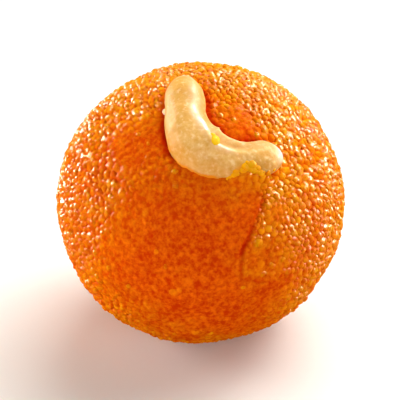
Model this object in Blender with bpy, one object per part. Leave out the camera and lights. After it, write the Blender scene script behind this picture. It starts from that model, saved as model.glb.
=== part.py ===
"""A motichoor ladoo: one hand-rolled ball of fine boondi pearls with a whole cashew pressed into its crown.

Run it with  blender --background --python part.py  or from Blender's text editor.
Metres, +Z up. The origin is the middle of the small flat spot that the ball stands on, and -Y is its front.
The ball's skin is one dome for each pearl: a cell round the pearl's place, high in the middle and low
along the crevices that it shares with its neighbours.
"""

from math import pi, radians, sqrt

import bmesh
import bpy
import numpy as np
from mathutils.kdtree import KDTree

# The ball. A rolled ball settles, so it is a little lower than it is wide.
BALL_RADIUS = 0.0250
BALL_FLATTENING = 0.965
BASE_RADIUS = 0.0070
BALL_CENTRE_Z = BALL_FLATTENING * sqrt(BALL_RADIUS**2 - BASE_RADIUS**2)

# Places on the ball are (azimuth, elevation) in degrees: azimuth 0 is the front, 90 the right side.
# Flats that the palms leave: azimuth, elevation, how wide in degrees, how deep.
PALM_FLATS = (
    (52, 43, 24, 0.00055),
    (-81, -15, 20, 0.00050),
    (118, -22, 26, 0.00055),
    (-140, 25, 30, 0.00060),
    (178, -8, 26, 0.00045),
    (24, -34, 22, 0.00040),
)

# The pearls: how many cover the ball, how far a crown stands over the crevices round it, and the share of
# that height by which crowns differ.
PEARL_COUNT = 1760
PEARL_RELIEF = 0.00042
RELIEF_SPREAD = 0.30
PEARL_SEED = 11
# They start anywhere and push apart: for how many rounds, from how many neighbours, and by what share of the
# overlap, while they lie nearer than this many times the pitch of an even spread.
SPREAD_ROUNDS = 14
NEIGHBOURS = 7
PUSH_SHARE = 0.4
PUSH_REACH = 1.05

# The relief dies out just above the flat spot, where the mass is pressed smooth.
SMOOTH_BELOW = 0.0012
SMOOTH_BAND = 0.0030

# The crack that opens down the front where two presses of the mass meet.
CRACK_PATH = ((31, 30), (25.5, 22.5), (20.5, 16), (17.3, 10.5), (15.4, 5), (14.8, -2))
CRACK_DEPTH = 0.00075
CRACK_HALF_WIDTH = 0.0009

# The cashew. Its centre line lies in a plane that touches the ball at CASHEW_PLACE, and is then bent over it.
# Half widths are (share of the length, metres), and the tips round off over these shares of the length.
CASHEW_PLACE = (13.8, 58.4)
CASHEW_START = (-0.0032, 0.0124)
CASHEW_LENGTH = 0.0302
CASHEW_HEADING = -102
CASHEW_BEND = 106
CASHEW_BEND_SPAN = (0.20, 0.87)
CASHEW_HALF_WIDTH = ((0.0, 0.0035), (0.25, 0.0033), (0.5, 0.0045), (0.75, 0.0031), (1.0, 0.0028))
CASHEW_THICKNESS = 0.86
CASHEW_TIPS = (0.20, 0.13)
CASHEW_SUNK = 0.0006
CASHEW_TIP_LIFT = 0.0011
LINE_POINTS = 120
CASHEW_RINGS = 30
CASHEW_SIDES = 24
# Its seam faces the inside of the bend: a furrow between two low ridges. Its place is in degrees round the
# kernel, its furrow and ridges are shares of the kernel's half width, and their widths of SEAM_HALF_ANGLE.
SEAM_ANGLE = 46
SEAM_HALF_ANGLE = 26
SEAM_FURROW = 0.085
SEAM_FURROW_WIDTH = 0.55
SEAM_RIDGE = 0.075
SEAM_RIDGE_WIDTH = 0.4

# The mass that the cashew squeezes up along the lower side of its arm. It begins at the first of these shares
# of the cashew's length, is at its full height between the second and the third, and ends at the last.
LIP_HEIGHT = 0.0010
LIP_REACH = 0.0016
LIP_SHARES = (0.58, 0.72, 0.87, 0.96)

# Faces that touch in the real thing keep this gap. The pocket is cut wider, because its flat facets lie
# inside its curve.
GAP = 0.0003
POCKET_GAP = 1.3 * GAP


def unit(vectors):
    return vectors / np.linalg.norm(vectors, axis=-1, keepdims=True)


def smooth(share):
    """0 below 0, 1 above 1, and an S between."""
    share = np.clip(share, 0, 1)
    return share * share * (3 - 2 * share)


def direction(azimuth, elevation):
    azimuth, elevation = radians(azimuth), radians(elevation)
    across = np.cos(elevation)
    return np.array([np.sin(azimuth) * across, -np.cos(azimuth) * across, np.sin(elevation)])


def angle_between(directions, other):
    return np.arccos(np.clip(directions @ other, -1, 1))


def body_radius(directions):
    """From the ball's centre to its skin over the pearls' crowns, with the palms' flats taken off."""
    squashed = directions / np.array([1, 1, BALL_FLATTENING])
    radius = BALL_RADIUS / np.linalg.norm(squashed, axis=-1)
    for azimuth, elevation, width, depth in PALM_FLATS:
        away = angle_between(directions, direction(azimuth, elevation))
        radius = radius - depth * np.exp(-((away / radians(width)) ** 2))
    return radius


def distance_to_path(points, path):
    """From each point to the nearest part of the line through the path's points."""
    nearest = np.full(len(points), np.inf)
    for start, end in zip(path[:-1], path[1:]):
        along = end - start
        share = np.clip((points - start) @ along / (along @ along), 0, 1)
        nearest = np.minimum(nearest, np.linalg.norm(points - start - share[:, None] * along, axis=1))
    return nearest


def over_ball(across, up, height):
    """The points that lie height above the skin, across and up the skin from the cashew's place."""
    middle = direction(*CASHEW_PLACE)
    right = unit(np.cross([0, 0, 1], middle))
    upward = np.cross(middle, right)
    walk = np.hypot(across, up)[:, None]
    heading = (across[:, None] * right + up[:, None] * upward) / np.maximum(walk, 1e-9)
    away = walk / BALL_RADIUS
    towards = np.cos(away) * middle + np.sin(away) * heading
    return towards * (body_radius(towards) + height)[:, None]


def cashew_line(count):
    """Points along the cashew's centre line, from its tip at the crown to its side tip."""
    share = np.linspace(0, 1, count)
    bend_start, bend_end = CASHEW_BEND_SPAN
    bent = smooth((share - bend_start) / (bend_end - bend_start))
    heading = np.radians(CASHEW_HEADING + CASHEW_BEND * bent)
    step = CASHEW_LENGTH / (count - 1)
    half_way = (heading[:-1] + heading[1:]) / 2
    across = CASHEW_START[0] + np.concatenate([[0], np.cumsum(np.cos(half_way))]) * step
    up = CASHEW_START[1] + np.concatenate([[0], np.cumsum(np.sin(half_way))]) * step
    height = -CASHEW_SUNK + (CASHEW_SUNK + CASHEW_TIP_LIFT) * (2 * share - 1) ** 2
    return over_ball(across, up, height)


def tip_rounding(share):
    """1 along the kernel, falling to 0 as a quarter of an ellipse over each tip."""
    from_end = np.minimum(share / CASHEW_TIPS[0], (1 - share) / CASHEW_TIPS[1])
    return np.sqrt(np.clip(1 - (1 - np.minimum(from_end, 1)) ** 2, 0, 1))


def seam_shape(angles):
    """How the seam changes the kernel's section: a furrow with a ridge on each side of it."""
    away = (angles - SEAM_ANGLE) / SEAM_HALF_ANGLE
    furrow = np.exp(-((away / SEAM_FURROW_WIDTH) ** 2))
    near_ridge = np.exp(-(((away + 1) / SEAM_RIDGE_WIDTH) ** 2))
    far_ridge = np.exp(-(((away - 1) / SEAM_RIDGE_WIDTH) ** 2))
    return 1 - SEAM_FURROW * furrow + SEAM_RIDGE * (near_ridge + far_ridge)


def cashew_mesh(name, swell=0.0):
    """The kernel: rings of points round its centre line and a point at each tip, all moved out by swell."""
    shares = (1 - np.cos(np.linspace(0, pi, CASHEW_RINGS))) / 2
    line = cashew_line(LINE_POINTS)
    line_shares = np.linspace(0, 1, LINE_POINTS)
    centres = np.stack([np.interp(shares, line_shares, line[:, k]) for k in range(3)], axis=1)
    forward = unit(np.gradient(centres, axis=0))
    outward = unit(centres)
    outward = unit(outward - (outward * forward).sum(1, keepdims=True) * forward)
    inward_of_bend = np.cross(outward, forward)
    widths = np.interp(shares, *zip(*CASHEW_HALF_WIDTH)) * tip_rounding(shares)
    angles = np.linspace(-180, 180, CASHEW_SIDES, endpoint=False)
    seam = seam_shape(angles)
    ends = np.stack([centres[0] - forward[0] * swell, centres[-1] + forward[-1] * swell])
    shape = bmesh.new()
    rings = []
    for i in range(1, CASHEW_RINGS - 1):
        side = (widths[i] * seam + swell) * np.sin(np.radians(angles))
        rise = (widths[i] * CASHEW_THICKNESS * seam + swell) * np.cos(np.radians(angles))
        points = centres[i] + side[:, None] * inward_of_bend[i] + rise[:, None] * outward[i]
        rings.append([shape.verts.new(point) for point in points])
    for ring, beyond in zip(rings[:-1], rings[1:]):
        for k in range(CASHEW_SIDES):
            following = (k + 1) % CASHEW_SIDES
            shape.faces.new((ring[k], ring[following], beyond[following], beyond[k]))
    for ring, end in ((rings[0], ends[0]), (rings[-1], ends[1])):
        tip = shape.verts.new(end)
        for k in range(CASHEW_SIDES):
            shape.faces.new((tip, ring[(k + 1) % CASHEW_SIDES], ring[k]))
    bmesh.ops.recalc_face_normals(shape, faces=shape.faces)
    bmesh.ops.translate(shape, verts=shape.verts, vec=(0, 0, BALL_CENTRE_Z))
    return mesh_from(shape, name)


def spread_directions(count, random):
    """Directions spread evenly and without a pattern: random ones that push their nearest neighbours away."""
    places = unit(random.normal(size=(count, 3)))
    even_pitch = sqrt(4 * pi / count * 2 / sqrt(3))
    reach = PUSH_REACH * even_pitch
    for _ in range(SPREAD_ROUNDS):
        tree = KDTree(count)
        for index, place in enumerate(places):
            tree.insert(place, index)
        tree.balance()
        moved = places.copy()
        for index, place in enumerate(places):
            for other, _, gap in tree.find_n(place, NEIGHBOURS + 1)[1:]:
                if gap < reach:
                    moved[index] += (place - np.array(other)) / gap * (reach - gap) * PUSH_SHARE
        places = unit(moved)
    return places


def pearl_cells(places):
    """The places, the corners of the cells round them, and for each place its cell's corners in order.

    The places' convex hull joins neighbouring pearls in threes, and a cell has a corner amid each three.
    """
    hull = bmesh.new()
    for place in places:
        hull.verts.new(place)
    bmesh.ops.convex_hull(hull, input=hull.verts)
    bmesh.ops.recalc_face_normals(hull, faces=hull.faces)
    hull.faces.index_update()
    corners = unit(np.array([face.calc_center_median()[:] for face in hull.faces]))
    cells = [faces_around(vertex) for vertex in hull.verts]
    places = np.array([vertex.co[:] for vertex in hull.verts])
    hull.free()
    return places, corners, cells


def faces_around(vertex):
    """The faces that meet at this point, anticlockwise."""
    start = loop = vertex.link_loops[0]
    around = []
    while not around or loop != start:
        around.append(loop.face.index)
        loop = loop.link_loop_prev.link_loop_radial_next
    return around


def lip_rise(directions):
    """The mass that stands up along the lower side of the cashew's arm."""
    line = cashew_line(LINE_POINTS)
    skin = directions * body_radius(directions)[:, None]
    away = np.linalg.norm(skin[:, None] - line[None], axis=2)
    nearest = away.argmin(axis=1)
    share = nearest / (len(line) - 1)
    below = skin[:, 2] < line[nearest, 2]
    edge = away.min(axis=1) - np.interp(share, *zip(*CASHEW_HALF_WIDTH))
    begin, full, fade, end = LIP_SHARES
    along = smooth((share - begin) / (full - begin)) * smooth((end - share) / (end - fade))
    return LIP_HEIGHT * along * below * np.exp(-((edge / LIP_REACH) ** 2))


def crack_drop(directions):
    """How far the crack takes the skin down."""
    path = [direction(*place) * BALL_RADIUS for place in CRACK_PATH]
    away = distance_to_path(directions * BALL_RADIUS, path)
    return CRACK_DEPTH * np.exp(-((away / CRACK_HALF_WIDTH) ** 2))


def relief_share(directions):
    """1 over most of the ball, falling to 0 just above the flat spot."""
    height = BALL_CENTRE_Z + body_radius(directions) * directions[:, 2]
    return smooth((height - SMOOTH_BELOW) / SMOOTH_BAND)


def ball_mesh(name):
    """The ball's skin: a fan of faces for each pearl, from its crown to the crevices round it."""
    random = np.random.default_rng(PEARL_SEED)
    crowns, corners, cells = pearl_cells(spread_directions(PEARL_COUNT, random))
    crown_rise = PEARL_RELIEF * RELIEF_SPREAD * random.uniform(-1, 1, len(crowns))
    crown_radius = body_radius(crowns) + (crown_rise * relief_share(crowns)) - crack_drop(crowns)
    corner_radius = body_radius(corners) - PEARL_RELIEF * relief_share(corners) - crack_drop(corners)
    shape = bmesh.new()
    crown_points = [shape.verts.new(p) for p in crowns * (crown_radius + lip_rise(crowns))[:, None]]
    corner_points = [shape.verts.new(p) for p in corners * (corner_radius + lip_rise(corners))[:, None]]
    for crown, around in zip(crown_points, cells):
        for here, following in zip(around, around[1:] + around[:1]):
            shape.faces.new((crown, corner_points[here], corner_points[following]))
    bmesh.ops.recalc_face_normals(shape, faces=shape.faces)
    bmesh.ops.translate(shape, verts=shape.verts, vec=(0, 0, BALL_CENTRE_Z))
    stand_flat(shape)
    return mesh_from(shape, name)


def stand_flat(shape):
    """Takes off what lies below the floor and closes the cut with the flat spot."""
    everything = shape.verts[:] + shape.edges[:] + shape.faces[:]
    bmesh.ops.bisect_plane(
        shape, geom=everything, dist=1e-7, plane_co=(0, 0, 0), plane_no=(0, 0, 1), clear_inner=True
    )
    rim = [edge for edge in shape.edges if edge.is_boundary]
    bmesh.ops.contextual_create(shape, geom=rim)
    bmesh.ops.recalc_face_normals(shape, faces=shape.faces)


def mesh_from(shape, name):
    mesh = bpy.data.meshes.new(name)
    shape.to_mesh(mesh)
    shape.free()
    return mesh


def add_object(name, mesh):
    piece = bpy.data.objects.new(name, mesh)
    bpy.context.scene.collection.objects.link(piece)
    return piece


def give_material(piece, name, colour, roughness):
    material = bpy.data.materials.new(name)
    material.use_nodes = True
    surface = material.node_tree.nodes["Principled BSDF"]
    surface.inputs["Base Color"].default_value = (*colour, 1)
    surface.inputs["Roughness"].default_value = roughness
    surface.inputs["Metallic"].default_value = 0
    piece.data.materials.append(material)


def cut_pocket(ball):
    """Takes the cashew's room, with the gap round it, out of the ball."""
    room = add_object("cashew_room", cashew_mesh("cashew_room", swell=POCKET_GAP))
    room.hide_render = True
    room.display_type = "WIRE"
    pocket = ball.modifiers.new("cashew pocket", "BOOLEAN")
    pocket.operation = "DIFFERENCE"
    pocket.object = room


def main():
    for old in list(bpy.data.objects):
        bpy.data.objects.remove(old)
    ball = add_object("ladoo", ball_mesh("ladoo"))
    cut_pocket(ball)
    cashew = add_object("cashew", cashew_mesh("cashew"))
    cashew.data.shade_smooth()
    give_material(ball, "syrup-soaked boondi", colour=(0.62, 0.12, 0.008), roughness=0.35)
    give_material(cashew, "cashew kernel", colour=(0.83, 0.60, 0.30), roughness=0.42)


main()
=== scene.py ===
from math import cos, pi, radians, sin, sqrt

import bmesh
import bpy
import numpy as np
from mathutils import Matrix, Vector
from mathutils.kdtree import KDTree


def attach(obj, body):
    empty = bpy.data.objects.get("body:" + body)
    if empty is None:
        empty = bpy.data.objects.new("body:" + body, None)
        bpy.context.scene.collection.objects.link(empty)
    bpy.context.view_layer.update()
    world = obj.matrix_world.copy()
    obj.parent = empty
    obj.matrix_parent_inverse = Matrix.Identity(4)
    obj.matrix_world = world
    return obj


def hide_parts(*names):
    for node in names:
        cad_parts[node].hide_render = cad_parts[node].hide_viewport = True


# A motichoor ladoo: a rolled ball of tiny boondi pearls with a whole cashew pressed into its crown.
# Metres, +Z up, front towards -Y. Places on the ball are (azimuth, elevation) in degrees, 0 is the front.
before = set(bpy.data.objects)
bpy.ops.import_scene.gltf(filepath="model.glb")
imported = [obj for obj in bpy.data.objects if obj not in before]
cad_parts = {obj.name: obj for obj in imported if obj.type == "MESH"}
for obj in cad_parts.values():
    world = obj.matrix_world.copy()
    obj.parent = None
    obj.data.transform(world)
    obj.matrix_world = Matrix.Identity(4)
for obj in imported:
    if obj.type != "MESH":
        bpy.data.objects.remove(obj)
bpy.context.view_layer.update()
scene = bpy.context.scene
print("frame loaded:", ", ".join(sorted(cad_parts)))

# the rolled mass, as in the solid model
ball = {
    "radius": 0.0250,
    "flattening": 0.965,
    "baseRadius": 0.0070,
    # azimuth, elevation, width in degrees, depth
    "palmFlats": [
        (52, 43, 24, 0.00055),
        (-81, -15, 20, 0.00050),
        (118, -22, 26, 0.00055),
        (-140, 25, 30, 0.00060),
        (178, -8, 26, 0.00045),
        (24, -34, 22, 0.00040),
    ],
    "unevenness": 0.00010,  # slow swells of the rolled surface
    "unevenLength": 0.011,
}
ballCentreZ = ball["flattening"] * sqrt(ball["radius"] ** 2 - ball["baseRadius"] ** 2)
ballCentre = np.array([0, 0, ballCentreZ])


def unitRows(rows):
    return rows / np.linalg.norm(rows, axis=-1, keepdims=True)


def smoothStep(share):
    share = np.clip(share, 0, 1)
    return share * share * (3 - 2 * share)


def bell(away, width):
    # 1 in the middle, falling off over the width
    return np.exp(-((away / width) ** 2))


def valueAt(share, pairs):
    # reads a list of (share, value), with straight lines between them
    return np.interp(share, *zip(*pairs))


def onBall(azimuth, elevation):
    azimuth, elevation = radians(azimuth), radians(elevation)
    return np.array([sin(azimuth) * cos(elevation), -cos(azimuth) * cos(elevation), sin(elevation)])


def degreesFrom(directions, azimuth, elevation):
    return np.degrees(np.arccos(np.clip(directions @ onBall(azimuth, elevation), -1, 1)))


def spotAt(directions, azimuth, elevation, width):
    return bell(degreesFrom(directions, azimuth, elevation), width)


def lessSpots(values, directions, spots):
    # takes soft spots away from the values: each is (azimuth, elevation, width, strength)
    for azimuth, elevation, width, strength in spots:
        values = values - strength * spotAt(directions, azimuth, elevation, width)
    return values


def waveNoise(points, wavelength, seed, waves=30):
    # smooth noise about 0 with a spread of about 1, from cosines that run in all directions
    random = np.random.default_rng(seed)
    headings = unitRows(random.normal(size=(waves, 3)))
    numbers = 2 * pi / (wavelength * random.uniform(0.7, 1.5, waves))  # some shorter, some longer
    phases = random.uniform(0, 2 * pi, waves)
    return np.cos(points @ (headings * numbers[:, None]).T + phases).sum(axis=1) / sqrt(waves / 2)


def layeredNoise(points, layers):
    # each layer is (wavelength, strength, seed)
    return sum(strength * waveNoise(points, wavelength, seed) for wavelength, strength, seed in layers)


def limitedNoise(points, wavelength, seed, middle, spread, least, most):
    return np.clip(middle + spread * waveNoise(points, wavelength, seed), least, most)


def bodyRadius(directions):
    # from the ball's centre to the crowns of its pearls
    squashed = directions / np.array([1, 1, ball["flattening"]])
    return lessSpots(ball["radius"] / np.linalg.norm(squashed, axis=-1), directions, ball["palmFlats"])


def aboveBall(points):
    # how far each point stands out of the body
    return np.linalg.norm(points, axis=1) - bodyRadius(unitRows(points))


def acrossLine(centres, forward):
    # two ways across a line over the ball: outwards, and to its left
    outward = unitRows(centres)
    outward = unitRows(outward - (outward * forward).sum(axis=-1, keepdims=True) * forward)
    return outward, np.cross(outward, forward)


def lengthsAlong(line):
    return np.concatenate([[0], np.cumsum(np.linalg.norm(np.diff(line, axis=0), axis=1))])


def pointsAlong(stops, lengths, line):
    return np.stack([np.interp(stops, lengths, line[:, k]) for k in range(3)], axis=1)


def lineDistance(points, line):
    nearest = np.full(len(points), np.inf)
    for start, end in zip(line[:-1], line[1:]):
        along = end - start
        share = np.clip((points - start) @ along / (along @ along), 0, 1)
        nearest = np.minimum(nearest, np.linalg.norm(points - start - share[:, None] * along, axis=1))
    return nearest


# angles round the kernel are in degrees: 0 is its top, above 0 the inner side of the bend
cashew = {
    "place": (13.8, 58.4),  # where its plane touches the ball
    "start": (-0.0032, 0.0124),
    "length": 0.0302,
    "heading": -102,
    "bend": 106,
    "bendSpan": (0.20, 0.87),
    # share of the length, half width
    "halfWidths": [(0.0, 0.0035), (0.25, 0.0033), (0.5, 0.0045), (0.75, 0.0031), (1.0, 0.0028)],
    "thickness": 0.86,
    "tips": (0.20, 0.13),
    "sunk": 0.0006,
    "tipLift": 0.0011,
    "routePoints": 160,
    "rings": 190,
    "sides": 96,
    # the seam between the kernel's halves: share, angle
    "seamAngles": [(0.0, 64), (0.42, 60), (0.58, 40), (0.8, 38), (1.0, 45)],
    "seamHalfAngle": 27,
    # its furrow and the ridges beside it: place and width in seam half angles, height in kernel half widths
    "furrow": (0, 0.62, -0.26),
    "ridges": [(-1.02, 0.40, 0.10), (1.0, 0.36, 0.08)],
    # share, strength of the seam: it shows best past the bend
    "seamStrength": [
        (0.0, 0.1), (0.3, 0.35), (0.46, 0.7), (0.56, 1.0), (0.70, 0.9), (0.82, 0.35), (1.0, 0.1),
    ],
    # wavelength, height, seed: slow lumps and fine dimples, which die out towards the tips
    "lumps": [(0.0045, 0.00006, 71), (0.0011, 0.000010, 72)],
    "lumpFade": 0.002,
}


def tipRounding(share):
    first, last = cashew["tips"]
    fromEnd = np.minimum(share / first, (1 - share) / last)
    return np.sqrt(np.clip(1 - (1 - np.minimum(fromEnd, 1)) ** 2, 0, 1))


def overBall(across, up, height):
    # walks across and up the skin from the cashew's place, then rises by height
    middle = onBall(*cashew["place"])
    right = unitRows(np.cross([0, 0, 1], middle))
    upward = np.cross(middle, right)
    walk = np.hypot(across, up)[:, None]
    heading = (across[:, None] * right + up[:, None] * upward) / np.maximum(walk, 1e-9)
    away = walk / ball["radius"]
    towards = np.cos(away) * middle + np.sin(away) * heading
    return towards * (bodyRadius(towards) + height)[:, None]


def cashewLine(count):
    # the kernel's centre line from the crown tip to the side tip, seen from the ball's centre
    share = np.linspace(0, 1, count)
    bendStart, bendEnd = cashew["bendSpan"]
    turned = cashew["bend"] * smoothStep((share - bendStart) / (bendEnd - bendStart))
    heading = np.radians(cashew["heading"] + turned)
    step = cashew["length"] / (count - 1)
    halfWay = (heading[:-1] + heading[1:]) / 2
    across = cashew["start"][0] + np.concatenate([[0], np.cumsum(np.cos(halfWay))]) * step
    up = cashew["start"][1] + np.concatenate([[0], np.cumsum(np.sin(halfWay))]) * step
    height = -cashew["sunk"] + (cashew["sunk"] + cashew["tipLift"]) * (2 * share - 1) ** 2
    return overBall(across, up, height)


cashewRoute = cashewLine(cashew["routePoints"])


def cashewEdge(directions):
    # for each direction: distance outside the cashew's side (negative inside), share along it, and whether
    # the point lies on the lower, outer side of the bend
    skin = directions * bodyRadius(directions)[:, None]
    away = np.linalg.norm(skin[:, None] - cashewRoute[None], axis=2)
    nearest = away.argmin(axis=1)
    share = nearest / (len(cashewRoute) - 1)
    forward = np.gradient(cashewRoute, axis=0)[nearest]
    centre = cashewRoute[nearest]
    outer = ((skin - centre) * np.cross(centre, forward)).sum(axis=1) < 0
    halfWidth = valueAt(share, cashew["halfWidths"]) * tipRounding(share)
    return away.min(axis=1) - halfWidth, share, outer


mass = {
    # where two presses of the mass meet, the skin opens a little
    "crackPath": [
        (33, 33), (29, 28), (25.5, 22.5), (20.5, 16), (17.3, 10.5), (15.4, 5), (14.6, 0), (15, -3),
    ],
    "crackDepth": 0.00046,
    "crackHalfWidth": 0.00038,
    # share of its length from the cashew down, how open it is
    "crackStrength": [
        (0.0, 0.7), (0.35, 0.9), (0.55, 1.15), (0.66, 1.1), (0.78, 0.5), (0.94, 0.5), (1.0, 0.9),
    ],
    "crackUneven": (0.0028, 64, 0.88, 0.2, 0.6, 1.15),  # wavelength, seed, middle, spread, least, most
    "crackStartFade": 0.004,
    "crackEndFade": 0.0012,
    "crackEndOpen": 0.3,  # it stays a little open at its foot
    "crackWander": 0.00020,
    "crackWanderLength": 0.0045,
    "crackWanderSeeds": (61, 62, 63),
    "crackPoints": 60,
    "crackSmoothing": 6,
    "crackStep": 0.0011,  # pearls line it in pairs, this far apart along it
    "crackJitter": 0.12,
    "crackBank": 0.00062,  # and this far from its middle
    # a short branch runs off its foot, shallower by this much more distance
    "branchPath": [(15.2, -1.2), (19.0, -2.4), (23.5, -4.8)],
    "branchFade": 0.00016,
    "bankStep": 0.0016,  # over what width its left bank turns into its right one
    "bankFade": 0.003,  # how far below its foot the right bank fades out
    # the mass squeezed up over the cashew's lower arm
    "lipHeight": 0.0021,
    "lipInside": 0.0006,  # its top lies this far over the kernel's side
    "lipReach": 0.0019,
    "lipShares": (0.61, 0.77, 0.87, 0.95),
    "lipPale": (0.27, 0.0022),  # the mass is paler there: how much, over what width
    # the gap that opens beside the rest of the cashew
    "gapDepth": 0.0006,
    "gapReach": 0.0005,
    # how open it is along the outer side: share, strength
    "gapOuter": [
        (0.0, 0.6), (0.22, 1.0), (0.30, 1.5), (0.42, 1.5), (0.50, 0.35), (0.60, 0.15), (0.90, 0.6), (1, 0.6),
    ],
    "crackShade": 1.4,  # width of the painted shade in the crack, in half widths
    "gapShade": 0.0010,  # width of the shade beside the cashew
    "crookShade": (0.40, 0.0024),  # a fainter, wider one inside its bend: strength, width
    # the relief dies out just above the flat spot
    "smoothBelow": 0.0006,
    "smoothBand": 0.0022,
}


def crackRoute():
    # evenly spaced points on a smooth curve through the path's places
    places = np.array([onBall(*place) for place in mass["crackPath"]]) * ball["radius"]
    lengths = lengthsAlong(places)
    route = pointsAlong(np.linspace(0, lengths[-1], mass["crackPoints"]), lengths, places)
    for _ in range(mass["crackSmoothing"]):
        route[1:-1] = (route[:-2] + 2 * route[1:-1] + route[2:]) / 4
    seeds = mass["crackWanderSeeds"]
    wander = np.stack([waveNoise(route, mass["crackWanderLength"], seed) for seed in seeds], axis=1)
    return route + wander * mass["crackWander"]


crackLine = crackRoute()
branchLine = np.array([onBall(*place) for place in mass["branchPath"]]) * ball["radius"]


def crackDistance(directions):
    points = directions * ball["radius"]
    return np.minimum(lineDistance(points, crackLine), lineDistance(points, branchLine) + mass["branchFade"])


def rightOfCrack(directions):
    # 1 on the crack's right bank, 0 on its left, for the stretch of the front that it crosses
    points = directions * ball["radius"]
    heights = crackLine[:, 2]
    order = np.argsort(heights)
    middle = np.interp(points[:, 2], heights[order], crackLine[order, 0])
    beyond = smoothStep((points[:, 0] - middle) / mass["bankStep"] + 0.5)
    above = smoothStep((points[:, 2] - heights.min()) / mass["bankFade"] + 1)
    return beyond * above * (points[:, 1] < 0)


def crackPairs(random):
    # places for pearls on both banks of the crack
    lengths = lengthsAlong(crackLine)
    step, jitter = mass["crackStep"], mass["crackJitter"]
    stops = np.arange(0, lengths[-1], step)
    stops = stops + random.uniform(-jitter, jitter, len(stops)) * step
    middle = pointsAlong(stops, lengths, crackLine)
    forward = pointsAlong(stops, lengths, np.gradient(crackLine, axis=0))
    across = unitRows(np.cross(forward, middle)) * mass["crackBank"]
    return unitRows(np.concatenate([middle + across, middle - across]))


def crackOpening(directions):
    # the crack opens and closes along its length, and closes at its ends
    points = directions * ball["radius"]
    nearest = np.linalg.norm(points[:, None] - crackLine[None], axis=2).argmin(axis=1)
    opening = limitedNoise(points, *mass["crackUneven"])
    opening = opening * valueAt(nearest / (len(crackLine) - 1), mass["crackStrength"])
    fromStart = np.linalg.norm(points - crackLine[0], axis=1)
    fromEnd = np.linalg.norm(points - crackLine[-1], axis=1)
    opening = opening * smoothStep(fromStart / mass["crackStartFade"])
    return opening * smoothStep(mass["crackEndOpen"] + fromEnd / mass["crackEndFade"])


def crackDrop(directions):
    near = bell(crackDistance(directions), mass["crackHalfWidth"])
    return mass["crackDepth"] * near * crackOpening(directions)


def lipShare(share, outer):
    begin, full, fade, end = mass["lipShares"]
    return smoothStep((share - begin) / (full - begin)) * smoothStep((end - share) / (end - fade)) * outer


def lipRise(edge, share, outer):
    return mass["lipHeight"] * lipShare(share, outer) * bell(edge + mass["lipInside"], mass["lipReach"])


def gapShare(share, outer):
    return np.where(outer, valueAt(share, mass["gapOuter"]), 1) * (1 - lipShare(share, outer))


def gapDrop(edge, share, outer):
    return mass["gapDepth"] * gapShare(share, outer) * bell(edge, mass["gapReach"])


def massRadius(directions):
    # the skin over the crowns, with the crack, the cashew's lip and the gap beside it
    edge, share, outer = cashewEdge(directions)
    swell = ball["unevenness"] * waveNoise(directions * ball["radius"], ball["unevenLength"], seed=5)
    radius = bodyRadius(directions) + swell * reliefShare(directions)
    return radius - crackDrop(directions) + lipRise(edge, share, outer) - gapDrop(edge, share, outer)


def reliefShare(directions):
    height = ballCentreZ + bodyRadius(directions) * directions[:, 2]
    return smoothStep((height - mass["smoothBelow"]) / mass["smoothBand"])


def shadeShare(directions):
    # painted shade: dark in the crack, and where the mass meets the cashew
    crack = bell(crackDistance(directions), mass["crackHalfWidth"] * mass["crackShade"])
    edge, share, outer = cashewEdge(directions)
    edge = np.maximum(edge, 0)
    strength, width = mass["crookShade"]
    beside = bell(edge, mass["gapShade"]) + strength * bell(edge, width) * ~outer
    return np.clip(crack * crackOpening(directions) + beside * gapShare(share, outer), 0, 1)


pearls = {
    "count": 4700,
    "seed": 3,
    "sizeSpread": 0.16,
    "sizeLimits": (0.68, 1.4),
    "bankSize": 0.9,  # of the pearls that line the crack
    "rounds": 16,
    "crevice": 0.00048,  # depth where two pearls meet
    "creviceRange": (0.55, 1.25),
    "pit": 0.00062,  # depth where three meet
    "pitRange": (0.7, 1.25),
    "cornerPull": 1.5,  # how much nearer it lies to a smaller pearl
    "bridged": (0.16, 0.35),  # share of the meetings that syrup has filled, and the depth left there
    "crownSpread": 0.00007,
    "crownLimit": 0.0002,
    "crownSunk": 0.00004,
    "tilt": 0.13,
    "shoulder": 0.62,  # where the pearl's shoulder lies between crown and crevice
    "shoulderDrop": 0.30,  # share of the crevice's depth there
    "roundness": 0.55,
    "sharpBelow": 0.4,  # with less paste than this, pearls meet in a sharp fold
    "tone": (0.5, 0.5),  # middle and spread of their own tone
    # painted shade in the crevices: at the most, share of it on the shoulders, and share that paste hides
    "darkest": 1.2,
    "shoulderDark": 0.16,
    "pasteHides": 0.5,
    # how wet with syrup: the middle, and how it differs from pearl to pearl and in patches
    "wet": 0.50,
    "wetSpread": 0.38,
    "wetPatches": (0.08, 0.0045),  # strength, length
    # azimuth, elevation, width, dryness (below 0 is wetter): dry in the cashew's crook and high up
    "drySpots": [
        (36, 58, 14, 0.45), (-70, 54, 20, 0.22), (-66, 33, 8, 0.15), (52, 38, 9, 0.20), (46, 14, 6, -0.35),
    ],
    # painted light: paler towards the crown and the right; and paler on the crack's right bank
    "paleCrown": 0.23,
    "crownFrom": 0.45,  # share of the ball's radius above its middle; it is full at twice that
    "paleRight": 0.10,
    "paleBank": 0.22,
    "bankWidth": 0.0055,
    # azimuth, elevation, width, strength (below 0 is paler): painted shade beside the cashew and in its
    # crook, and other darker or paler spots
    "deepSpots": [
        (-34, 43, 20, 0.18),
        (34, 57, 13, 0.38),
        (50, 35, 8, -0.30),
        (32, 31, 9, -0.20),
        (30, -5, 12, 0.10),
        (-2, 32, 12, 0.12),
        (-70, 54, 18, 0.10),
    ],
}

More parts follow.
